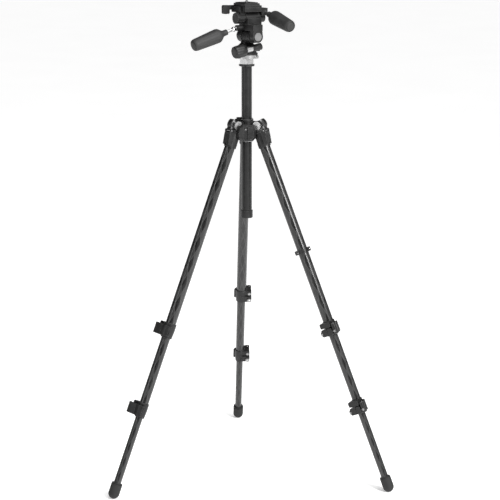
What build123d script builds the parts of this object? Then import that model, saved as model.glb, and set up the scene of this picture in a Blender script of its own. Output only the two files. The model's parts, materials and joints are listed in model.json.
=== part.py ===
"""Three-section carbon-fibre tripod with a three-way pan and tilt head.

Millimetres, +Z up, floor at z = 0. The column stands over the middle of the three feet.
One leg points along +Y, the other two stand 120 degrees to either side of it.
"""

import os
from math import cos, radians, sin

from build123d import *

# ---- fits and clearances ----
FIT = 0.05  # radial play of a running or glued fit
GAP = 0.4  # air between faces that pass each other

# ---- legs, measured from the hinge down the leg ----
SPREAD = 22.44  # leg angle from vertical at rest
HINGE_RADIUS = 40.0  # hinge to column axis
LEG_OFFSET = 7.7  # tube axis inward of the hinge
UPPER_OD, MIDDLE_OD, LOWER_OD = 29.2, 24.8, 20.4
WALL = 1.4
UPPER_TUBE_TOP = 48.0
UPPER_CLAMP_AT = 596.0
LOWER_CLAMP_AT = 828.0
MIDDLE_TUBE_TOP = 345.0
LOWER_TUBE_TOP = 562.0
FOOT_RADIUS = 15.5
FOOT_LENGTH = 45.0
FOOT_CENTRE = 1069.6  # centre of the ball end of the foot
SLEEVE = 30.0  # thicker guide at the top end of a sliding tube
LEG_ANGLES = {"back": 0, "right": -120, "left": 120}

# ---- hinge drum and leg head ----
DRUM_RADIUS = 13.0
DRUM_HALF = 17.25
TONGUE_HALF = 8.0
PIN_RADIUS = 4.0
SOCKET_OD = 34.5
SOCKET_END = 62.0

# ---- clamps ----
CLAMP_HALF = 21.0
CLAMP_WALL = 2.6
LUG_X = 23.0  # clamp bolt to tube axis, sideways
BOLT_Z = -9.0  # lock bolt, below the clamp's middle
LEVER_PIN = (24.5, 23.0)
LEVER_LOW, LEVER_HIGH = -17.0, 13.0

# ---- column ----
COLUMN_OD = 28.9
COLUMN_BOTTOM, COLUMN_TOP = 746.0, 1167.0
HUB_LOW, HUB_HIGH, COLLAR_HIGH = 962.0, 1010.0, 1021.0
HUB_RADIUS = 19.5
BUSH_WALL = 2.0
FLANGE_RADIUS, FLANGE_TOP = 21.6, 1173.0
ADAPTER_FLATS, ADAPTER_TOP = 37.0, 1189.5

# ---- head: +X is the tilt axis, the tilt handle points along -Y ----
HEAD_YAW = -60.8
PLATE_RADIUS, PLATE_TOP = 30.5, 1200.0
SPINDLE_RADIUS, SPINDLE_TOP = 10.0, 1224.0
PAN_LOCK_SLOPE = 9.0  # the pan lock leans down towards its knob
TILT_Z, TILT_RADIUS = 1251.0, 18.0
SIDE_Z, SIDE_RADIUS = 1299.5, 17.8
PLATFORM_LOW, PLATFORM_HIGH = 1318.0, 1334.0
PLATFORM_X, PLATFORM_Y = 31.0, 27.0  # half sizes
PLATE_LOW, PLATE_HIGH, PAD_HIGH = 1328.0, 1339.5, 1342.0
PLATE_LEVER_PIN = (-37.0, 8.0)
SCREW_TIP = 1349.0
SCREW_RADIUS, SCREW_NECK = 3.175, 2.7
SCREW_FOOT = PAD_HIGH + 0.6
TILT_HANDLE_ROOT, TILT_HANDLE_SLOPE = (0.0, -43.0, 1270.0), 17.0
SIDE_HANDLE_ROOT, SIDE_HANDLE_SLOPE = (17.0, 46.0, 1315.5), 14.5
GRIP_START, GRIP_LENGTH = 22.5, 112.0

# ---- worked out from the sizes above ----
S, C = sin(radians(SPREAD)), cos(radians(SPREAD))
HINGE_HEIGHT = FOOT_CENTRE * C + LEG_OFFSET * S + FOOT_RADIUS
FOOT_REACH = HINGE_RADIUS + FOOT_CENTRE * S - LEG_OFFSET * C
COLUMN_Y = -FOOT_REACH / 4  # puts the origin at the middle of the footprint
COLUMN_AT = Pos(0, COLUMN_Y, 0)
HEAD_AT = COLUMN_AT * Rot(0, 0, HEAD_YAW)
PAN_LOCK_AT = Pos(30, 8, 1220) * Rot(90 + PAN_LOCK_SLOPE, 0, 0)


def leg_at(angle):
    """Frame of one leg: origin on its hinge, -Z down the leg, +Y outward."""
    return COLUMN_AT * Rot(0, 0, angle) * Pos(0, HINGE_RADIUS, HINGE_HEIGHT) * Rot(SPREAD, 0, 0)


def rod(radius, low, high, x=0.0, y=0.0):
    """Upright cylinder between two heights."""
    return Pos(x, y, (low + high) / 2) * Cylinder(radius, high - low)


def rod_x(radius, low, high, y=0.0, z=0.0):
    """Cylinder along X."""
    return Pos((low + high) / 2, y, z) * Rot(0, 90, 0) * Cylinder(radius, high - low)


def rod_y(radius, low, high, x=0.0, z=0.0):
    """Cylinder along Y."""
    return Pos(x, (low + high) / 2, z) * Rot(90, 0, 0) * Cylinder(radius, high - low)


def block(x0, x1, y0, y1, z0, z1):
    """Box between opposite corners."""
    return Pos((x0 + x1) / 2, (y0 + y1) / 2, (z0 + z1) / 2) * Box(abs(x1 - x0), y1 - y0, z1 - z0)


def turned(points):
    """Solid turned about Z from (radius, height) corners."""
    face = make_face(Plane.XZ * Polyline(*points, close=True))
    return revolve(face, Axis.Z)


def rounded(solid, axis, radius):
    """Round the edges of a block that run along one axis."""
    return fillet(solid.edges().filter_by(axis), radius)


# ---------------------------------------------------------------- legs


def leg_head():
    """Forked casting that hinges on the hub and holds the top tube."""
    neck = Pos(0, -LEG_OFFSET, 0) * (rod(SOCKET_OD / 2, -SOCKET_END, -9) + rod(17.6, -20, -15))
    corners = ((0, -58), (8.8, -58), (14.6, -30), (16.6, -22), (16.6, -15.5), (0, -15.5))
    flare = extrude(make_face(Plane.YZ * Polyline(*corners, close=True)), amount=14.3, both=True)
    neck += fillet(flare.edges().filter_by(Axis.Z).sort_by(Axis.Y)[-2:], 4)
    neck -= block(-10.8, 10.8, 8.6, 30, -24, 0)
    neck -= block(-30, 30, -40, HUB_RADIUS + GAP - HINGE_RADIUS, -UPPER_TUBE_TOP, 5)
    neck -= block(-30, 30, -40, 40, -DRUM_RADIUS + 4, 5) - rod_x(DRUM_RADIUS, -DRUM_HALF, DRUM_HALF)
    body = neck + rod_x(DRUM_RADIUS, -DRUM_HALF, DRUM_HALF)
    fork = block(-TONGUE_HALF - GAP, TONGUE_HALF + GAP, -40, 40, -DRUM_RADIUS - 1, 20)
    body -= fork
    body -= rod_x(PIN_RADIUS + FIT, -30, 30)
    bore = Pos(0, -LEG_OFFSET, 0) * rod(UPPER_OD / 2 + FIT, -SOCKET_END - 1, -UPPER_TUBE_TOP)
    plug = Pos(0, -LEG_OFFSET, 0) * rod(UPPER_OD / 2 - WALL - FIT, -88, -UPPER_TUBE_TOP)
    hollow = Pos(0, -LEG_OFFSET, 0) * rod(9, -89, -UPPER_TUBE_TOP - 2)
    body = body - bore + plug - hollow
    for side in (-1, 1):
        ear = rod_x(4.2, side * 12.5 - 1.8, side * 12.5 + 1.8, y=12.4, z=-19)
        foot = block(side * 12.5 - 1.8, side * 12.5 + 1.8, 4, 15.6, -23, -15)
        body += ear + foot
    return body - rod_x(1.6 + FIT, -30, 30, y=12.4, z=-19)


def angle_catch():
    """Sprung metal pawl over the hinge drum, lifted to free the leg."""
    shell = rod_x(16.6, -9.5, 9.5) - rod_x(DRUM_RADIUS + GAP, -10, 10)
    wedge = make_face(Plane.YZ * Polyline((0, 0), (20, 19), (30, 0), (30, -12), (8, -12), close=True))
    shell = shell & extrude(wedge, amount=20, both=True)
    barrel = rod_x(2.6, -10.2, 10.2, y=12.4, z=-19)
    stem = block(-9.5, 9.5, 12.6, 15, -19, -8)
    ridge = rod_x(2.6, -9.5, 9.5, y=13.0, z=11.2) - rod_x(DRUM_RADIUS + GAP, -10, 10)
    return shell + barrel + stem + ridge + rod_x(1.6, -14.3, 14.3, y=12.4, z=-19)


def tube(outer, top, end, sleeve_radius=None):
    """Carbon tube down the leg axis, with a guide sleeve at its top if it slides."""
    body = rod(outer / 2, -end, -top)
    if sleeve_radius:
        body += rod(sleeve_radius, -top - SLEEVE, -top)
    return Pos(0, -LEG_OFFSET, 0) * (body - rod(outer / 2 - WALL, -end - 1, -top + 1))


def clamp(upper_od, lower_od):
    """Split collar: the top band grips the thicker tube, the bottom band the sliding one."""
    outer = upper_od / 2 + CLAMP_WALL
    low = lower_od / 2 + 3.2
    body = turned(
        [
            (0, -CLAMP_HALF),
            (low, -CLAMP_HALF),
            (outer - 0.3, -5),
            (outer, 3),
            (outer, CLAMP_HALF - 1.5),
            (outer - 1.2, CLAMP_HALF),
            (0, CLAMP_HALF),
        ]
    )
    lug = rounded(block(4, 29, -16, 15, 5.2, 20), Axis.X, 3)
    jaws = rounded(block(4, 29.5, -17, 15, -18, 2.2), Axis.X, 3)
    body += lug + jaws
    body -= rod(upper_od / 2 + FIT, 0, 30) + rod(lower_od / 2 + FIT, -30, 5)
    body -= block(0, 40, -0.8, 0.8, -30, 2.4)
    body -= block(-4, 40, -30, 30, 3.0, 4.4)
    body -= rod_y(3.05, -40, 40, x=LUG_X, z=BOLT_Z) + rod_y(2.55, -40, 40, x=LUG_X, z=12.5)
    body -= rod_y(6.7, -40, -15, x=LUG_X, z=BOLT_Z) + rod_y(4.6, -40, -13.5, x=LUG_X, z=12.5)
    return body


def clamp_bolts():
    """Lock bolt with its eye and lever pin, its nut, and the pinch screw of the top band."""
    px, py = LEVER_PIN
    eye = rod(4.4, BOLT_Z - 3, BOLT_Z + 3, px, py)
    neck = rod_y(3.0, 13, py - 1, x=LUG_X, z=BOLT_Z)
    bolt = rod_y(3.0, -19.5, 14, x=LUG_X, z=BOLT_Z) + neck + eye
    pin = rod(2.0, LEVER_LOW, 0, px, py)
    nut = rod_y(6.2, -21, -15.1, x=LUG_X, z=BOLT_Z) - rod_y(3.0, -22, -14, x=LUG_X, z=BOLT_Z)
    screw = rod_y(2.5, -15, 14, x=LUG_X, z=12.5) + rod_y(4.3, -17.5, -13.6, x=LUG_X, z=12.5)
    return Compound(children=[bolt + pin, nut, screw])


def clamp_lever(upper_od):
    """Cam lever that wraps round the outside of the collar to a rounded thumb end."""
    px, py = LEVER_PIN
    inner = upper_od / 2 + CLAMP_WALL + 0.8
    height = LEVER_HIGH - LEVER_LOW
    middle = (LEVER_HIGH + LEVER_LOW) / 2
    ring = Circle(inner + 5) - Circle(inner)
    wedge = make_face(Polyline((0, 0), (24, 40), (-40, 40), (-40, 14), close=True))
    arm = (ring & wedge) + make_face(
        Polyline((px + 4, py + 5.5), (px - 6, py + 5), (4, inner + 5), (2, inner + 1), (18, 18.5), close=True)
    )
    arm += Pos(px, py) * Circle(6.3)
    tip = Pos(-inner * 0.86, inner * 0.84) * Rot(0, 0, 38) * Rectangle(11, 4.2)
    arm += tip
    body = Pos(0, 0, LEVER_LOW) * extrude(arm, height)
    shape = block(-13, 40, -5, 45, LEVER_LOW, LEVER_HIGH)
    shape += rod_y(height / 2, -5, 45, x=-13, z=middle)
    body = body & shape
    body -= rod(7.0, BOLT_Z - 3.6, BOLT_Z + 3.6, px, py) & block(0, 40, 0, py + 4.6, -30, 30)
    body -= block(LUG_X - 7, px + 8, 0, py, BOLT_Z - 3.6, BOLT_Z + 3.6)
    body -= block(2, 40, 0, 15.6, LEVER_LOW - 1, LEVER_HIGH + 1)
    return body - rod(2.0 + FIT, LEVER_LOW - 1, 0.2, px, py)


def foot():
    """Rubber foot with a ball end, pushed over the lower tube."""
    top = -(FOOT_CENTRE + FOOT_RADIUS - FOOT_LENGTH)
    body = rod(FOOT_RADIUS, -FOOT_CENTRE, top - 3) + Pos(0, 0, -FOOT_CENTRE) * Sphere(FOOT_RADIUS)
    neck = rod(FOOT_RADIUS - 2.2, top - 4, top - 2) + rod(FOOT_RADIUS - 0.8, top - 2, top)
    body = body + neck - rod(LOWER_OD / 2 + FIT, -FOOT_CENTRE + 4, top + 1)
    return Pos(0, -LEG_OFFSET, 0) * body


def leg_clip():
    """Two-part accessory band on the right leg, with a screw lug on each side."""
    inner = UPPER_OD / 2
    band = rod(inner + 2.4, -6, 6)
    lugs = block(-inner - 10, inner + 10, -4, 4, -6, 6)
    body = band + rounded(lugs, Axis.Y, 2) - rod(inner + FIT, -7, 7)
    holes = rod_y(1.7, -9, 9, x=inner + 6) + rod_y(1.7, -9, 9, x=-inner - 6)
    return body - holes - block(-40, 40, -0.4, 0.4, -7, 7)


# ---------------------------------------------------------------- hub and column


def hub():
    """Cast hub: column sleeve, three hinge tongues and three faceted knuckles."""
    body = rod(HUB_RADIUS, HUB_LOW, HUB_HIGH) + rod(HUB_RADIUS - 0.8, HUB_HIGH, COLLAR_HIGH)
    for angle in LEG_ANGLES.values():
        outline = ((-27, 6), (-20, 22), (10, 24), (22, 20), (28, 0), (24, -17), (12, -23), (-18, -22), (-26, -14))
        face = make_face(Plane.XZ.offset(-40) * Polyline(*outline, close=True))
        knuckle = extrude(face, amount=-40) + extrude(face, amount=8, taper=38)
        knuckle = Pos(4, 0, 987) * knuckle
        for side in (-1, 1):
            slot = Rot(0, 0, side * 60) * block(-20.3, 20.3, 0, 80, 940, 1030)
            knuckle -= slot
        knuckle -= rounded(block(-1.5, 10.5, 42.5, 60, 968, 1005), Axis.Y, 3)
        knuckle -= rod_y(3.2, 34, 60, x=4.5, z=996)
        knuckle += block(-8, 8, 14, 32, 966, 1008)
        body += Rot(0, 0, angle + 180) * knuckle
        tongue = rod_x(12, -TONGUE_HALF, TONGUE_HALF, y=HINGE_RADIUS, z=HINGE_HEIGHT)
        tongue += block(-TONGUE_HALF, TONGUE_HALF, 14, HINGE_RADIUS, HINGE_HEIGHT - 9.5, HINGE_HEIGHT + 9.5)
        tongue -= rod_x(PIN_RADIUS + FIT, -20, 20, y=HINGE_RADIUS, z=HINGE_HEIGHT)
        for notch in (62, 85, 108, 131):
            a = radians(notch)
            tongue -= rod_x(1.8, -9, 9, y=HINGE_RADIUS + 12.4 * cos(a), z=HINGE_HEIGHT + 12.4 * sin(a))
        body += Rot(0, 0, angle) * tongue
    lug = block(-9, 9, 14, 24, HUB_HIGH - 2, COLLAR_HIGH)
    body += Rot(0, 0, 60) * lug
    body -= rod(COLUMN_OD / 2 + BUSH_WALL + FIT, HUB_LOW - 1, COLLAR_HIGH + 1)
    body -= Rot(0, 0, 60) * block(-0.6, 0.6, 10, 40, HUB_HIGH + 0.5, COLLAR_HIGH + 1)
    return body - Rot(0, 0, 60) * rod(2.0 + FIT, HUB_HIGH - 1, COLLAR_HIGH + 1, 5, 20.5)


def hinge_pins():
    """One through pin with two broad caps for each leg."""
    pins = []
    for angle in LEG_ANGLES.values():
        pin = rod_x(PIN_RADIUS, -DRUM_HALF - 0.3, DRUM_HALF + 0.3)
        for side in (-1, 1):
            middle = side * (DRUM_HALF + 1.15)
            cap = rod_x(11.8, middle - 0.9, middle + 0.9)
            pin += cap - block(side * 18.6, side * 20, -7, 7, -0.9, 0.9)
        pins.append(Rot(0, 0, angle) * Pos(0, HINGE_RADIUS, HINGE_HEIGHT) * pin)
    return Compound(children=pins)


def column_bushing():
    """Plastic sleeve between the column and the hub."""
    inner = COLUMN_OD / 2
    body = rod(inner + BUSH_WALL, HUB_LOW - 2.2, COLLAR_HIGH)
    body += rod(inner + 3.6, HUB_LOW - 2.2, HUB_LOW - GAP)
    return body - rod(inner + FIT, HUB_LOW - 3, COLLAR_HIGH + 1)


def column_lock_lever():
    """Flat oval lever that closes the split collar on the column."""
    pad = block(-13, 9.5, 26.5, 32.5, HUB_HIGH + 1.5, COLLAR_HIGH - 0.5)
    pad = rounded(pad, Axis.Y, 3.2)
    head = rod(5, COLLAR_HIGH + 0.3, COLLAR_HIGH + 3.3, 5, 20.5)
    link = rounded(block(-1, 9.5, 18, 32.5, COLLAR_HIGH + 0.3, COLLAR_HIGH + 2.8), Axis.Z, 2)
    web = block(1, 8.5, 27, 32, COLLAR_HIGH - 2, COLLAR_HIGH + 2)
    return pad + head + link + web + rod(2.0, HUB_HIGH, COLLAR_HIGH + 1, 5, 20.5)


def column_tube():
    """Black column tube."""
    return rod(COLUMN_OD / 2, COLUMN_BOTTOM, COLUMN_TOP) - rod(COLUMN_OD / 2 - 1.6, 700, 1180)


def column_end_cap():
    """Moulded cap on the lower end of the column."""
    low, high = COLUMN_BOTTOM - 2.5, COLUMN_BOTTOM + 18
    body = rod(16.9, low + 3, high) + Pos(0, 0, low + 3) * (
        Sphere(16.9) & Pos(0, 0, -1.5) * Cylinder(17, 3)
    )
    body -= rod(COLUMN_OD / 2 + FIT, COLUMN_BOTTOM, high + 1)
    return body


def column_flange():
    """Dark top fitting that closes the column."""
    body = turned(
        [
            (0, 1150),
            (COLUMN_OD / 2 - 1.6 - FIT, 1150),
            (COLUMN_OD / 2 - 1.6 - FIT, COLUMN_TOP),
            (COLUMN_OD / 2 + 2, COLUMN_TOP),
            (FLANGE_RADIUS, COLUMN_TOP + 1.5),
            (FLANGE_RADIUS, FLANGE_TOP),
            (0, FLANGE_TOP),
        ]
    )
    return body - rod(7.0, 1140, 1180)


def column_adapter():
    """Hexagonal aluminium block between the flange and the head plate."""
    body = extrude(Rot(0, 0, 30 + 56.2) * RegularPolygon(ADAPTER_FLATS / 2, 6, major_radius=False), 16.5)
    body = Pos(0, 0, FLANGE_TOP) * chamfer(body.faces().sort_by(Axis.Z)[0].edges(), 1.5)
    body += rod(7.0 - FIT, 1152, FLANGE_TOP + 1)
    return body - rod(4.9, 1140, 1200)


def head_plate():
    """Aluminium plate that the head turns on, with its spindle and mounting thread."""
    body = rod(PLATE_RADIUS, ADAPTER_TOP, PLATE_TOP)
    body = chamfer(body.edges().filter_by(GeomType.CIRCLE), 0.8)
    body += rod(SPINDLE_RADIUS, PLATE_TOP - 1, SPINDLE_TOP) + rod(4.75, 1170, ADAPTER_TOP + 1)
    groove = rod(SPINDLE_RADIUS + 1, 1210, 1219) - rod(SPINDLE_RADIUS - 1.5, 1209, 1220)
    thumb = Rot(0, 0, 32) * rod_x(5.0, PLATE_RADIUS - 4, PLATE_RADIUS + 3.5, z=1194.7)
    return body - groove + thumb


# ---------------------------------------------------------------- head


def pan_body():
    """Turning base: clamp ring round the spindle, clamp barrel, and the tilt drum on top."""
    body = turned(
        [
            (0, PLATE_TOP + 0.3),
            (PLATE_RADIUS, PLATE_TOP + 0.3),
            (PLATE_RADIUS, PLATE_TOP + 4),
            (27, PLATE_TOP + 6),
            (25, PLATE_TOP + 24),
            (17, PLATE_TOP + 31),
            (10, PLATE_TOP + 51),
            (0, PLATE_TOP + 51),
        ]
    )
    drum = rod_x(TILT_RADIUS, -27, 37, z=TILT_Z) + rod_x(TILT_RADIUS + 1.8, -8, -1, z=TILT_Z)
    drum = chamfer(drum.edges().filter_by(GeomType.CIRCLE).sort_by(Axis.X)[0], 3)
    for x in (6, 14, 22, 30):
        groove = rod_x(TILT_RADIUS + 1, x - 1.6, x + 1.6, z=TILT_Z)
        drum -= groove - rod_x(TILT_RADIUS - 1.6, x - 2, x + 2, z=TILT_Z)
    barrel = PAN_LOCK_AT * rod(9.6, -18.5, 10)
    barrel += block(12, 30, -2, 24, 1210, 1225)
    body = body + drum + barrel
    body -= rod(SPINDLE_RADIUS + FIT, 1190, SPINDLE_TOP + 0.6)
    body -= PAN_LOCK_AT * (rod(4.0 + FIT, -12, 60) + rod(9.0, 10.2, 34) + rod(18.8, 33, 80))
    return body - rod_x(7 + FIT, -60, 60, z=TILT_Z)


def pan_bolt():
    """Steel clamp screw of the pan lock with its broad polished collar."""
    return PAN_LOCK_AT * (rod(8.4, 10.6, 29) + rod(4.0, -10, 58))


def pan_knob():
    """Faceted lock knob."""
    body = Pos(0, 0, 34) * extrude(RegularPolygon(17.8, 10), amount=35)
    ends = rod(17.5, 34, 69)
    body = body & chamfer(ends.edges().filter_by(GeomType.CIRCLE), 2.5)
    body += rod(10, 29.2, 35)
    return PAN_LOCK_AT * (body - rod(4.0 + FIT, 28, 58.4))


def tilt_frame():
    """Upper frame that swings about the tilt drum and carries the side-tilt barrel."""
    clear = TILT_RADIUS + 2.6
    side = Plane.YZ * Polyline((-15.6, 1254), (15.6, 1254), (12, 1284), (-12, 1284), close=True)
    arm = rod_x(16, 38, 57, z=TILT_Z) + Pos(38, 0, 0) * extrude(make_face(side), amount=19)
    bridge = block(-15, 57, -15, 15, TILT_Z + 16, 1284)
    web = block(-14, 24, -11.5, 33, 1279, SIDE_Z)
    barrel = rod_y(SIDE_RADIUS, -11.5, 33, z=SIDE_Z)
    boss = rod_y(8.0, -34, -10, z=1273.2)
    body = arm + bridge + web + barrel + boss
    body -= rod_x(clear, -28, 37.6, z=TILT_Z)
    body -= rod_x(7 + FIT, -60, 60, z=TILT_Z)
    body -= rod_x(11.3, 53, 60, z=TILT_Z)
    body -= rod_y(6 + FIT, -60, 60, z=SIDE_Z)
    hole = tilt_handle(rod(4 + FIT, -17, 10))
    return body - hole


def tilt_axle():
    """Steel tilt axle with its broad end cap in the arm."""
    return rod_x(7, -27, 54, z=TILT_Z) + rod_x(11.0, 53.2, 58.2, z=TILT_Z)


def handle_rod():
    """Polished rod with a ball near its root, along +Z from the root."""
    return rod(4, -16, GRIP_START + 30) + Sphere(6.8)


def handle_grip():
    """Tapered hand grip with a narrow neck, along +Z."""
    start, end = GRIP_START, GRIP_START + GRIP_LENGTH
    points = [
        (0, start),
        (7.6, start),
        (8.2, start + 3),
        (8.2, start + 14),
        (10.5, start + 18),
        (18.4, start + 27),
        (19.6, start + 33),
        (19.2, start + 48),
        (17.0, end - 6),
        (15.2, end - 1.5),
        (13.0, end),
        (0, end),
    ]
    return turned(points) - rod(4 + FIT, start - 1, start + 30.5)


def tilt_handle(part):
    """Place a handle piece on the tilt frame: out along -Y and down."""
    return Pos(*TILT_HANDLE_ROOT) * Rot(90 + TILT_HANDLE_SLOPE, 0, 0) * part


def side_handle(part):
    """Place a handle piece on the platform: out along +X and down."""
    return Pos(*SIDE_HANDLE_ROOT) * Rot(0, 90 + SIDE_HANDLE_SLOPE, 0) * part


def platform():
    """Camera platform with its pocket, two side-tilt lugs and the axle between them."""
    body = block(-PLATFORM_X, 25, -23, PLATFORM_Y, PLATFORM_LOW, PLATFORM_HIGH)
    body = rounded(body, Axis.Z, 4)
    body += rounded(block(21, PLATFORM_X, -24, 29, 1317, PLATFORM_HIGH), Axis.X, 2)
    body += rounded(block(-32, 10, -29, -21, 1315, 1331), Axis.Y, 3)
    body += rod_y(15.2, -37, -12.2, z=SIDE_Z) + block(-12, 12, -27, -12.2, SIDE_Z, PLATFORM_LOW + 2)
    for i in range(12):
        a = radians(30 * i)
        body -= rod_y(1.6, -38, -16, x=16 * sin(a), z=SIDE_Z + 16 * cos(a))
    body += rod_y(13.5, 34, 53, z=SIDE_Z) + block(-11, 13, 34, 53, SIDE_Z, 1322)
    body += block(-13.5, 24, 34, 53, 1306, 1326) + block(-12, 20, 20, 40, PLATFORM_LOW, 1326)
    body += rod_y(6.0, -30, 40, z=SIDE_Z)
    px, py = PLATE_LEVER_PIN
    body += block(px - 4, -30, py - 5, py + 5, 1318.2, 1320.4) + rod(2.2, 1320, 1333, px, py)
    body -= block(-50, 50, -21.2, 21.2, PLATE_LOW - 0.3, PLATFORM_HIGH + 1)
    hole = side_handle(rod(4 + FIT, -17, 20))
    return body - hole - side_handle(Sphere(7.4))


def quick_plate():
    """Sliding camera plate, flanged over the platform."""
    body = block(-PLATFORM_X, PLATFORM_X, -21, 21, PLATE_LOW, PLATFORM_HIGH + 0.3)
    top = block(-PLATFORM_X + 1, PLATFORM_X - 1, -25, 25, PLATFORM_HIGH + 0.3, PLATE_HIGH)
    top = chamfer(rounded(top, Axis.Z, 4).faces().sort_by(Axis.Z)[-1].edges(), 1)
    body = body + top
    body -= rod(SCREW_RADIUS + FIT, PLATE_LOW - 1, PAD_HIGH)
    return body - rod(9.3, PLATE_LOW - 1, PLATE_LOW + 5)


def plate_pad():
    """Rubber facing on the camera plate."""
    body = rounded(block(-26, 26, -21, 21, PLATE_HIGH, PAD_HIGH), Axis.Z, 3)
    return body - rod(SCREW_RADIUS + 0.4, PLATE_HIGH - 1, PAD_HIGH + 1)


def camera_screw():
    """Quarter-inch camera screw on a relieved neck, with a coin-slotted head under the plate."""
    body = rod(SCREW_RADIUS, SCREW_FOOT, SCREW_TIP) + rod(SCREW_NECK, PLATE_LOW + 2, SCREW_FOOT)
    body += rod(9.0, PLATE_LOW + 0.4, PLATE_LOW + 4.6)
    return body - block(-10, 10, -0.9, 0.9, PLATE_LOW, PLATE_LOW + 2)


def plate_lever():
    """Long lever beside the platform that locks the camera plate."""
    px, py = PLATE_LEVER_PIN
    arm = rounded(block(px - 4.4, px + 4.4, -54, py, 1320.8, 1333), Axis.X, 3)
    arm += rod(4.4, 1320.8, 1333, px, py)
    tab = rounded(block(px - 6, px + 4.4, -54, -34, 1309.5, 1333.5), Axis.X, 4)
    return arm + tab - rod(2.2 + FIT, 1319, 1334, px, py)


# ---------------------------------------------------------------- assembly


def build():
    """All nodes by name."""
    parts = {
        "hub": COLUMN_AT * hub(),
        "hinge_pins": COLUMN_AT * hinge_pins(),
        "column_bushing": COLUMN_AT * column_bushing(),
        "column_lock_lever": COLUMN_AT * Rot(0, 0, 60) * column_lock_lever(),
        "column_tube": COLUMN_AT * column_tube(),
        "column_end_cap": COLUMN_AT * column_end_cap(),
        "column_flange": COLUMN_AT * column_flange(),
        "column_adapter": COLUMN_AT * column_adapter(),
        "head_plate": HEAD_AT * head_plate(),
        "pan_body": HEAD_AT * pan_body(),
        "pan_bolt": HEAD_AT * pan_bolt(),
        "pan_knob": HEAD_AT * pan_knob(),
        "tilt_frame": HEAD_AT * tilt_frame(),
        "tilt_axle": HEAD_AT * tilt_axle(),
        "tilt_handle_rod": HEAD_AT * tilt_handle(handle_rod()),
        "tilt_grip": HEAD_AT * tilt_handle(handle_grip()),
        "platform": HEAD_AT * platform(),
        "side_handle_rod": HEAD_AT * side_handle(handle_rod()),
        "side_grip": HEAD_AT * side_handle(handle_grip()),
        "plate_lever": HEAD_AT * plate_lever(),
        "quick_plate": HEAD_AT * quick_plate(),
        "plate_pad": HEAD_AT * plate_pad(),
        "camera_screw": HEAD_AT * camera_screw(),
        "right_leg_clip": leg_at(LEG_ANGLES["right"]) * Pos(0, -LEG_OFFSET, -369) * Rot(0, 0, 150) * leg_clip(),
    }
    sleeve_2 = UPPER_OD / 2 - WALL - FIT
    sleeve_3 = MIDDLE_OD / 2 - WALL - FIT
    leg = {
        "leg_head": leg_head(),
        "angle_catch": angle_catch(),
        "upper_tube": tube(UPPER_OD, UPPER_TUBE_TOP, UPPER_CLAMP_AT),
        "middle_tube": tube(MIDDLE_OD, MIDDLE_TUBE_TOP, LOWER_CLAMP_AT, sleeve_2),
        "lower_tube": tube(LOWER_OD, LOWER_TUBE_TOP, FOOT_CENTRE - 4, sleeve_3),
        "foot": foot(),
    }
    for level, at, upper, lower in (
        ("upper", UPPER_CLAMP_AT, UPPER_OD, MIDDLE_OD),
        ("lower", LOWER_CLAMP_AT, MIDDLE_OD, LOWER_OD),
    ):
        place = Pos(0, -LEG_OFFSET, -at)
        leg[level + "_clamp"] = place * clamp(upper, lower)
        leg[level + "_clamp_bolts"] = place * clamp_bolts()
        leg[level + "_clamp_lever"] = place * clamp_lever(upper)
    for side, angle in LEG_ANGLES.items():
        for name, shape in leg.items():
            parts[side + "_" + name] = leg_at(angle) * shape
    return parts


PARTS = build()

if __name__ == "__main__":
    os.makedirs("parts", exist_ok=True)
    for name, shape in PARTS.items():
        export_step(shape, "parts/" + name + ".step")
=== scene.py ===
import json
import math

import bmesh
import bpy
from mathutils import Matrix, Vector


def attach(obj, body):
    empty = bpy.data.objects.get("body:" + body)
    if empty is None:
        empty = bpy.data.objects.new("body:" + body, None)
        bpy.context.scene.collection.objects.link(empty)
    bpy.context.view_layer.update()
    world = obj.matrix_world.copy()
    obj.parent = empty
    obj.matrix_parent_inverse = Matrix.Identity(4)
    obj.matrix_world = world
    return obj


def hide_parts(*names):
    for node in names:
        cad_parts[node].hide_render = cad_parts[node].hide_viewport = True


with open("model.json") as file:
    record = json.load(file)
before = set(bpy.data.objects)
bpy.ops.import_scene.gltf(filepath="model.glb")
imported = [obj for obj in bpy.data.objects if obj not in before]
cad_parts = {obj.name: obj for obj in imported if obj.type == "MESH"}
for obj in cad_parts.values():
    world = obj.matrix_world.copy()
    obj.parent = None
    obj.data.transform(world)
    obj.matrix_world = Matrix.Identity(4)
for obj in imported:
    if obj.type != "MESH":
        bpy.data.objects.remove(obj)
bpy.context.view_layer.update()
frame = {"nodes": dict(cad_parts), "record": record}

# ---------------------------------------------------------------- frames of the object, metres

SPREAD = math.radians(22.44)
COLUMN_Y = -0.11029
HINGE_Z = 1.00708
LEG_OFFSET = 0.0077
LEGS = {"back": 0, "right": -120, "left": 120}


def turn(degrees, axis):
    return Matrix.Rotation(math.radians(degrees), 4, axis)


def move(x, y, z):
    return Matrix.Translation((x, y, z))


COLUMN = move(0, COLUMN_Y, 0)
HEAD = COLUMN @ turn(-60.8, "Z")
TILT_HANDLE = HEAD @ move(0, -0.043, 1.270) @ turn(107, "X")
SIDE_HANDLE = HEAD @ move(0.017, 0.046, 1.3155) @ turn(104.5, "Y")
PAN_LOCK = HEAD @ move(0.030, 0.008, 1.220) @ turn(99, "X")


def leg_matrix(angle):
    """Frame of a leg: tube axis on z, origin level with the hinge."""
    hinge = turn(angle, "Z") @ move(0, 0.040, HINGE_Z) @ Matrix.Rotation(SPREAD, 4, "X")
    return COLUMN @ hinge @ move(0, -LEG_OFFSET, 0)


# ---------------------------------------------------------------- materials

SHEEN_SATIN, SHEEN_RUBBER, SHEEN_CARBON = 0.34, 0.40, 0.25  # specular level of the black surfaces
PAPER_GLOW = 0.5


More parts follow.
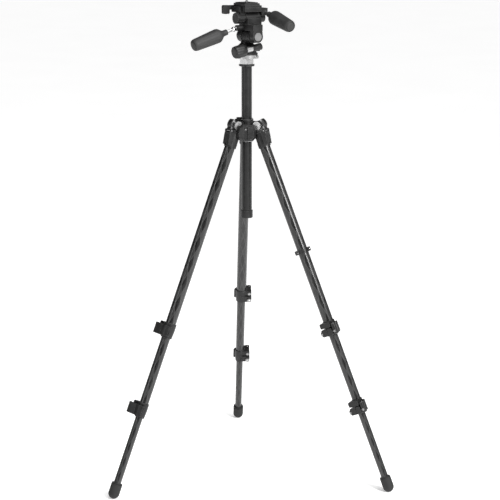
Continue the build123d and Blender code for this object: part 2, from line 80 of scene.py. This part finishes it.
class Nodes:
    """Small helper for building one material's node tree."""

    def __init__(self, name):
        self.mat = bpy.data.materials.new(name)
        self.mat.use_nodes = True
        self.tree = self.mat.node_tree
        self.bsdf = self.tree.nodes["Principled BSDF"]

    def new(self, kind, **inputs):
        node = self.tree.nodes.new(kind)
        for key, value in inputs.items():
            self.put(node, key, value)
        return node

    def put(self, node, key, value):
        index = int(key[1:]) if key[0] == "_" and key[1:].isdigit() else key
        if isinstance(value, bpy.types.NodeSocket):
            self.tree.links.new(value, node.inputs[index])
        else:
            node.inputs[index].default_value = value

    def coords(self, matrix=None):
        out = self.new("ShaderNodeTexCoord").outputs["Object"]
        if matrix is None:
            return out
        inverse = matrix.inverted()
        mapping = self.new("ShaderNodeMapping", Vector=out)
        mapping.inputs["Rotation"].default_value = inverse.to_euler("XYZ")
        mapping.inputs["Location"].default_value = inverse.to_translation()
        return mapping.outputs[0]

    def math(self, operation, a, b=None, c=None, clamp=False):
        node = self.tree.nodes.new("ShaderNodeMath")
        node.operation = operation
        node.use_clamp = clamp
        for index, value in enumerate((a, b, c)):
            if value is not None:
                self.put(node, f"_{index}", value)
        return node.outputs[0]

    def noise(self, vector, scale, detail=3.0, rough=0.5):
        node = self.new("ShaderNodeTexNoise", Vector=vector, Scale=scale, Detail=detail, Roughness=rough)
        return node.outputs["Fac"]

    def stretch(self, vector, x, y, z):
        node = self.new("ShaderNodeMapping", Vector=vector)
        node.inputs["Scale"].default_value = (x, y, z)
        return node.outputs[0]

    def span(self, value, low, high, out_low=0.0, out_high=1.0):
        node = self.new("ShaderNodeMapRange", Value=value)
        for key, number in zip(("From Min", "From Max", "To Min", "To Max"), (low, high, out_low, out_high)):
            node.inputs[key].default_value = number
        return node.outputs[0]

    def mix(self, factor, a, b):
        node = self.tree.nodes.new("ShaderNodeMix")
        node.data_type = "RGBA"
        self.put(node, "_0", factor)
        for index, value in ((6, a), (7, b)):
            if isinstance(value, (int, float)):
                value = (value, value, value, 1)
            self.put(node, f"_{index}", value)
        return node.outputs[2]

    def edges(self, radius):
        """1 on edges, 0 on the faces: the mask of the lighter edges, painted edge highlight and partly wear.
        """
        bevel = self.new("ShaderNodeBevel", Radius=radius)
        bevel.samples = 4
        normal = self.new("ShaderNodeNewGeometry").outputs["Normal"]
        dot = self.tree.nodes.new("ShaderNodeVectorMath")
        dot.operation = "DOT_PRODUCT"
        self.tree.links.new(bevel.outputs[0], dot.inputs[0])
        self.tree.links.new(normal, dot.inputs[1])
        return self.span(dot.outputs["Value"], 0.98, 0.80)

    def bump(self, height, strength, distance):
        node = self.new("ShaderNodeBump", Height=height, Strength=strength, Distance=distance)
        self.tree.links.new(node.outputs[0], self.bsdf.inputs["Normal"])

    def surface(self, color, rough, **rest):
        self.put(self.bsdf, "Base Color", color)
        self.put(self.bsdf, "Roughness", rough)
        for key, value in rest.items():
            self.put(self.bsdf, key.replace("_", " "), value)
        return self.mat


def satin(name, dark, light, edge_sheen_and_wear, rough=(0.34, 0.5), grain=2200, strength=0.25):
    """Black casting or moulding: fine grain, slight mottling, lighter edges that are painted edge highlight
    and partly rubbed wear.
    """
    n = Nodes(name)
    at = n.coords()
    mottle = n.noise(at, 60, 4)
    fine = n.noise(at, grain, 2)
    base = n.mix(n.span(mottle, 0.3, 0.7), dark, light)
    # Lighter edges: painted edge highlight, partly rubbed wear.
    color = n.mix(n.math("MULTIPLY", n.edges(0.0009), 0.8), base, edge_sheen_and_wear)
    n.bump(fine, strength, 0.0002)
    return n.surface(color, n.span(mottle, 0.3, 0.7, *rough), Specular_IOR_Level=SHEEN_SATIN)


def metal(name, shade, rough, brushed=(1, 1, 1), edge_sheen_and_wear=0.95):
    """Bright machined or polished metal with fine tool marks."""
    n = Nodes(name)
    at = n.coords()
    lines = n.noise(n.stretch(at, *brushed), 900, 3, 0.6)
    cloud = n.noise(at, 90, 3)
    color = n.mix(n.span(cloud, 0.3, 0.7), shade * 0.82, shade)
    # Brighter edges: painted edge glint, partly worn metal.
    color = n.mix(n.math("MULTIPLY", n.edges(0.0006), 0.7), color, edge_sheen_and_wear)
    n.bump(lines, 0.18, 0.0001)
    return n.surface(color, n.span(lines, 0.2, 0.8, rough * 0.75, rough * 1.3), Metallic=1.0)


def rubber(name, dark, light, rough=0.72, grain=1500):
    """Soft-touch or plain rubber: matte, dusty, pebbled."""
    n = Nodes(name)
    at = n.coords()
    dust = n.noise(at, 45, 5, 0.6)
    pebble = n.noise(at, grain, 2)
    color = n.mix(n.span(dust, 0.3, 0.75), dark, light)
    # Lighter edges: painted edge highlight, partly rubbed wear.
    color = n.mix(n.math("MULTIPLY", n.edges(0.0008), 0.35), color, light * 1.5)
    n.bump(pebble, 0.35, 0.0002)
    spread = n.span(dust, 0.3, 0.7, rough - 0.08, rough + 0.08)
    return n.surface(color, spread, Specular_IOR_Level=SHEEN_RUBBER)


def carbon(name, matrix, tows, pitch, dark, light, shine):
    """Clear-coated carbon tube: two crossing families of long flat tows that show as slim diamonds."""
    n = Nodes(name)
    at = n.coords(matrix)
    parts = n.new("ShaderNodeSeparateXYZ", Vector=at)
    x, y, z = (parts.outputs[i] for i in range(3))
    around = n.math("MULTIPLY", n.math("ARCTAN2", y, x), tows / (2 * math.pi))
    along = n.math("DIVIDE", z, pitch)
    one = n.math("FRACT", n.math("ADD", n.math("ADD", around, along), 50.0))
    two = n.math("FRACT", n.math("ADD", n.math("SUBTRACT", around, along), 50.0))
    first = n.math("LESS_THAN", one, 0.5)
    second = n.math("LESS_THAN", two, 0.5)
    cross = n.math("ABSOLUTE", n.math("SUBTRACT", first, second))
    # Bright lines along the tow edges: painted sheen.
    rim_1 = n.math("ABSOLUTE", n.math("SUBTRACT", n.math("FRACT", n.math("MULTIPLY", one, 2.0)), 0.5))
    rim_2 = n.math("ABSOLUTE", n.math("SUBTRACT", n.math("FRACT", n.math("MULTIPLY", two, 2.0)), 0.5))
    tow_edge_sheen = n.span(n.math("MAXIMUM", rim_1, rim_2), 0.40, 0.5, 0.0, 1.0)
    streak = n.noise(n.stretch(at, 1, 1, 0.03), 1400, 3, 0.7)
    patch = n.noise(n.stretch(at, 1, 1, 0.2), 60, 3)
    tow = n.mix(cross, dark, light)
    # Lighter fibre streaks: partly fibre tone, partly painted glint.
    tow = n.mix(n.span(streak, 0.40, 0.70, 0.0, 0.7), tow, light * 2.6)
    tow = n.mix(n.span(patch, 0.45, 0.7, 0.0, 0.6), tow, dark)
    color = n.mix(n.math("MULTIPLY", tow_edge_sheen, 0.45), tow, shine)
    rough = n.math("ADD", n.math("MULTIPLY", cross, 0.18), n.span(streak, 0.3, 0.8, 0.22, 0.36))
    lift = n.math("ADD", n.math("MULTIPLY", cross, 0.6), n.math("MULTIPLY", streak, 0.5))
    n.bump(lift, 0.5, 0.0005)
    coat = {"Coat_Weight": 0.5, "Coat_Roughness": 0.14, "Coat_IOR": 1.5}
    return n.surface(color, rough, Specular_IOR_Level=SHEEN_CARBON, **coat)


def paper(name):
    """Seamless pale sheet, a little uneven in its roughness."""
    n = Nodes(name)
    cloud = n.noise(n.coords(), 1.5, 3)
    shade = n.mix(cloud, 0.90, 0.93)
    rough = n.span(cloud, 0.3, 0.7, 0.85, 0.95)
    return n.surface(shade, rough, Emission_Color=shade, Emission_Strength=PAPER_GLOW)


MAT = {
    "cast": satin("satin_black_moulding", 0.007, 0.015, 0.12),
    "metal_black": satin("black_powder_coat", 0.009, 0.018, 0.15, (0.30, 0.44), 1600, 0.4),
    "column": satin("black_anodised_tube", 0.007, 0.012, 0.05, (0.26, 0.36), 3000, 0.15),
    "silver": metal("blasted_aluminium", 0.50, 0.30),
    "steel": metal("polished_steel", 0.72, 0.16, (1, 1, 0.1)),
    "screw_steel": metal("dark_screw_steel", 0.34, 0.34, edge_sheen_and_wear=0.6),
    "grip": rubber("soft_touch_grip", 0.020, 0.031, 0.62),
    "rubber": rubber("black_rubber", 0.012, 0.022, 0.7),
    "bush": satin("grey_acetal", 0.30, 0.36, 0.5, (0.4, 0.5)),
}

# Tows round the tube and the length of one turn's repeat, metres
TUBES = {"upper": (3, 0.115), "middle": (3, 0.100), "lower": (3, 0.085)}
CARBON_SHADES = (0.002, 0.019, 0.09)  # dark tow, light tow, bright tow-edge line (painted sheen)
for side, angle in LEGS.items():
    for section, (tows, pitch) in TUBES.items():
        key = f"carbon_{side}_{section}"
        MAT[key] = carbon(key, leg_matrix(angle), tows, pitch, *CARBON_SHADES)

slot_of = {s["node"]: s["material_slot"] for s in frame["record"]["subparts"]}
for name, obj in frame["nodes"].items():
    key = slot_of[name]
    for side in LEGS:
        for section in TUBES:
            if name == f"{side}_{section}_tube":
                key = f"carbon_{side}_{section}"
    if name == "column_tube":
        key = "column"
    obj.data.materials.clear()
    obj.data.materials.append(MAT[key])

# ---------------------------------------------------------------- detail pieces


def add(name, bm, body, key, smooth=35):
    """Turn a bmesh into a finished piece on a body."""
    bmesh.ops.remove_doubles(bm, verts=bm.verts, dist=1e-6)
    bmesh.ops.recalc_face_normals(bm, faces=bm.faces)
    mesh = bpy.data.meshes.new(name)
    bm.to_mesh(mesh)
    bm.free()
    obj = bpy.data.objects.new(name, mesh)
    bpy.context.scene.collection.objects.link(obj)
    for face in mesh.polygons:
        face.use_smooth = True
    mesh.set_sharp_from_angle(angle=math.radians(smooth))
    mesh.materials.append(MAT[key])
    bpy.context.view_layer.update()
    if body:
        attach(obj, body)
    return obj


def lathe(profile, matrix, around=64, shape=None):
    """Closed solid turned about z from (radius, height) corners in mm; shape(r, z, angle) may alter r."""
    bm = bmesh.new()
    rings = []
    for r, z in profile:
        if r < 1e-6:
            rings.append([bm.verts.new(matrix @ Vector((0, 0, z / 1000)))])
            continue
        ring = []
        for i in range(around):
            a = 2 * math.pi * i / around
            rr = (shape(r, z, a) if shape else r) / 1000
            ring.append(bm.verts.new(matrix @ Vector((rr * math.cos(a), rr * math.sin(a), z / 1000))))
        rings.append(ring)
    for low, high in zip(rings, rings[1:]):
        for i in range(around):
            j = (i + 1) % around
            corners = [low[i % len(low)], low[j % len(low)], high[j % len(high)], high[i % len(high)]]
            unique = list(dict.fromkeys(corners))
            if len(unique) > 2:
                bm.faces.new(unique)
    return bm


# Hand grips: neck with ribs, tapered barrel with shallow flutes, recessed end disc
GRIP = [
    (4.2, 0), (7.4, 0), (8.0, 0.8), (8.0, 3.6), (7.5, 4.2), (7.5, 5.2), (8.1, 5.8), (8.1, 8.6),
    (7.6, 9.2), (7.6, 10.2), (8.3, 10.8), (8.7, 13.5), (10.0, 16.0), (13.4, 20.4), (16.6, 24.4),
    (18.4, 27.4), (19.3, 30.4), (19.6, 34.5), (19.5, 41), (19.1, 51), (18.5, 65), (17.8, 80),
    (17.2, 95), (16.8, 102), (16.2, 106.4), (14.8, 109.4), (13.6, 110.6), (13.0, 110.4),
    (12.7, 109.2), (12.3, 109.1), (12.0, 110.6), (11.2, 111.2), (6.5, 111.8), (0, 112.0),
]


def fluted(r, z, a):
    if z < 28 or z > 102 or r < 10:
        return r
    fade = min(1, (z - 28) / 12, (102 - z) / 12)
    return r - 0.35 * fade * (0.5 + 0.5 * math.cos(10 * a)) ** 4


for name, matrix, body, nodes in (
    ("tilt_grip_shell", TILT_HANDLE, "tilt_handle", "tilt_grip"),
    ("side_grip_shell", SIDE_HANDLE, "side_handle", "side_grip"),
):
    grip = add(name, lathe([(0, 0)] + GRIP, matrix @ move(0, 0, 0.0225), 120, fluted), body, "grip")
    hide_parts(nodes)

# Black finger pads over the bright pawls, ribbed along their outer face
PAD_STEPS, PAD_INNER = 34, 16.62
for side, angle in LEGS.items():
    hinge = leg_matrix(angle) @ move(0, LEG_OFFSET, 0)
    bm = bmesh.new()
    low, high = math.radians(-34), math.radians(52)
    rings = []
    for i in range(PAD_STEPS + 1):
        a = low + (high - low) * i / PAD_STEPS
        taper = min(1.0, (i + 0.6) / 3, (PAD_STEPS - i + 0.6) / 3)
        rib = 0.5 if 6 < i < PAD_STEPS - 2 and i % 4 < 2 else 0.0
        outer = 16.7 + 2.6 * taper + rib * taper
        section = ((-9.2, PAD_INNER), (9.2, PAD_INNER), (9.2, outer - 0.9))
        section += ((8.3, outer), (-8.3, outer), (-9.2, outer - 0.9))
        ring = []
        for x, r in section:
            point = Vector((x, r * math.cos(a), r * math.sin(a))) / 1000
            ring.append(bm.verts.new(hinge @ point))
        rings.append(ring)
    for one, two in zip(rings, rings[1:]):
        for k in range(6):
            bm.faces.new((one[k], one[(k + 1) % 6], two[(k + 1) % 6], two[k]))
    bm.faces.new(rings[0])
    bm.faces.new(rings[-1])
    add(f"{side}_catch_pad", bm, f"{side}_catch", "cast")

# Faceted pan knob with a recessed end disc, turned about the clamp screw
KNOB = [
    (4.2, 29.2), (9.5, 29.2), (10.0, 30.0), (10.2, 33), (13.5, 34.2), (15.9, 35.4), (17.0, 37.4), (17.4, 42),
    (17.5, 48), (17.4, 55), (17.2, 61), (16.7, 65.4), (15.6, 67.8), (14.0, 68.8), (12.4, 68.9), (11.9, 68.5),
    (11.7, 67.4), (11.2, 67.2), (10.9, 68.4), (6.0, 68.8), (0, 69.0),
]


def lobed(r, z, a):
    if r < 13 or z < 35:
        return r
    wave = (0.5 + 0.5 * math.cos(10 * a)) ** 3
    return r * (1 - 0.055 * wave)


knob = add("pan_knob_shell", lathe([(0, 29.2)] + KNOB, PAN_LOCK, 120, lobed), "pan_lock", "cast")
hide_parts("pan_knob")


def screw(name, matrix, body, radius, height, key="screw_steel", deep=1.2):
    """Socket screw head: rounded rim and a hexagonal recess. Stands on z = 0 of its frame."""
    hexa = radius * 0.52

    def shape(r, z, a):
        if r > hexa * 1.001:
            return r
        return r * math.cos(math.pi / 6) / math.cos((a % (math.pi / 3)) - math.pi / 6)

    profile = [
        (0, 0), (radius, 0), (radius, height * 0.62), (radius * 0.96, height * 0.85), (radius * 0.86, height),
        (hexa * 1.12, height), (hexa, height * 0.93), (hexa, height - deep), (0, height - deep - 0.2),
    ]
    return add(name, lathe(profile, matrix, 36, shape), body, key)


def rivet(name, matrix, body, radius, key="steel"):
    """Domed rivet head with a rolled rim."""
    profile = [(0, -0.6), (radius, -0.6), (radius, 0.25), (radius * 0.93, 0.55), (radius * 0.8, 0.5)]
    profile += [(radius * 0.72, 0.62), (radius * 0.5, 0.95), (radius * 0.25, 1.12), (0, 1.18)]
    return add(name, lathe(profile, matrix, 32), body, key)


LEVELS = {"upper": (596, "leg", "upper_lever"), "lower": (828, "middle", "lower_lever")}
for side, angle in LEGS.items():
    for level, (at, body, lever) in LEVELS.items():
        clamp = leg_matrix(angle) @ move(0, 0, -at / 1000)
        tag = f"{side}_{level}"
        top = clamp @ move(0.0245, 0.023, 0.013)
        low = clamp @ move(0.0245, 0.023, -0.017) @ turn(180, "X")
        rivet(tag + "_rivet_top", top, f"{side}_{lever}", 3.0)
        rivet(tag + "_rivet_low", low, f"{side}_{lever}", 3.0)
        end = clamp @ move(0.023, -0.0195, -0.009) @ turn(90, "X")
        screw(tag + "_lock_screw", end, f"{side}_{body}", 2.9, 2.0, "steel")

for name, angle in (("front", 180), ("right", 60), ("left", -60)):
    place = COLUMN @ turn(angle, "Z") @ move(0.0045, 0.036, 0.996) @ turn(-90, "X")
    screw(f"hub_screw_{name}", place, "base", 3.1, 2.6)

rivet("column_lever_rivet", COLUMN @ turn(60, "Z") @ move(0.005, 0.0205, 1.0243), "column_lock", 3.2)

for tag, x in (("out", 20.6), ("in", -20.6)):
    clip = leg_matrix(-120) @ move(0, 0, -0.369) @ turn(150, "Z") @ move(x / 1000, -0.0035, 0) @ turn(90, "X")
    screw(f"clip_screw_{tag}", clip, "right_leg", 1.65, 1.4, "steel", 0.7)

# ---------------------------------------------------------------- stage, light, camera

FLOOR_SIZE = 160
WORLD_DIM, WORLD_BRIGHT = 0.14, 0.70
BRIGHT_SIDE = (0.75, -0.35, 0.56)
LAMP_AIM = (0, 0, 0.8)
CAMERA_AT, CAMERA_PITCH, CAMERA_YAW = (-0.2640, -4.2845, 1.5871), -12.646, -3.744
FOCAL_PER_WIDTH = 3.03034

floor = bmesh.new()
bmesh.ops.create_grid(floor, x_segments=8, y_segments=8, size=FLOOR_SIZE)
floor_mesh = bpy.data.meshes.new("studio_floor")
floor.to_mesh(floor_mesh)
floor.free()
floor_obj = bpy.data.objects.new("studio_floor", floor_mesh)
bpy.context.scene.collection.objects.link(floor_obj)
floor_mesh.materials.append(paper("pale_paper"))

world = bpy.data.worlds.new("studio")
bpy.context.scene.world = world
world.use_nodes = True
tree = world.node_tree
background = tree.nodes["Background"]
direction = tree.nodes.new("ShaderNodeTexCoord").outputs["Generated"]
toward = tree.nodes.new("ShaderNodeVectorMath")
toward.operation = "DOT_PRODUCT"
toward.inputs[1].default_value = BRIGHT_SIDE
ramp = tree.nodes.new("ShaderNodeMapRange")
ramp.interpolation_type = "SMOOTHSTEP"
ramp.inputs["From Min"].default_value = -0.5
ramp.inputs["From Max"].default_value = 0.9
ramp.inputs["To Min"].default_value = WORLD_DIM
ramp.inputs["To Max"].default_value = WORLD_BRIGHT
tree.links.new(direction, toward.inputs[0])
tree.links.new(toward.outputs["Value"], ramp.inputs["Value"])
tree.links.new(ramp.outputs[0], background.inputs["Strength"])

sun = bpy.data.lights.new("overhead", "SUN")
sun.energy = 1.9
sun.angle = math.radians(50)
sun_obj = bpy.data.objects.new("overhead", sun)
bpy.context.scene.collection.objects.link(sun_obj)
sun_obj.rotation_euler = (math.radians(18), math.radians(14), 0)


def softbox(name, place, aim, size, power):
    light = bpy.data.lights.new(name, "AREA")
    light.shape = "RECTANGLE"
    light.size, light.size_y = size
    light.energy = power
    obj = bpy.data.objects.new(name, light)
    bpy.context.scene.collection.objects.link(obj)
    obj.location = place
    obj.rotation_mode = "QUATERNION"
    obj.rotation_quaternion = (Vector(aim) - Vector(place)).to_track_quat("-Z", "Y")


softbox("key", (2.1, -3.0, 2.9), LAMP_AIM, (1.1, 2.6), 210)
softbox("fill", (-2.8, -2.0, 2.0), LAMP_AIM, (0.3, 2.4), 22)

bpy.context.scene.view_settings.view_transform = "Standard"

camera = bpy.data.cameras.new("camera")
camera.sensor_width = 36
camera.lens = FOCAL_PER_WIDTH * camera.sensor_width
camera_obj = bpy.data.objects.new("camera", camera)
bpy.context.scene.collection.objects.link(camera_obj)
camera_obj.location = CAMERA_AT
camera_obj.rotation_euler = (math.radians(90 + CAMERA_PITCH), 0, math.radians(CAMERA_YAW))
camera.clip_end = 400
bpy.context.scene.camera = camera_obj
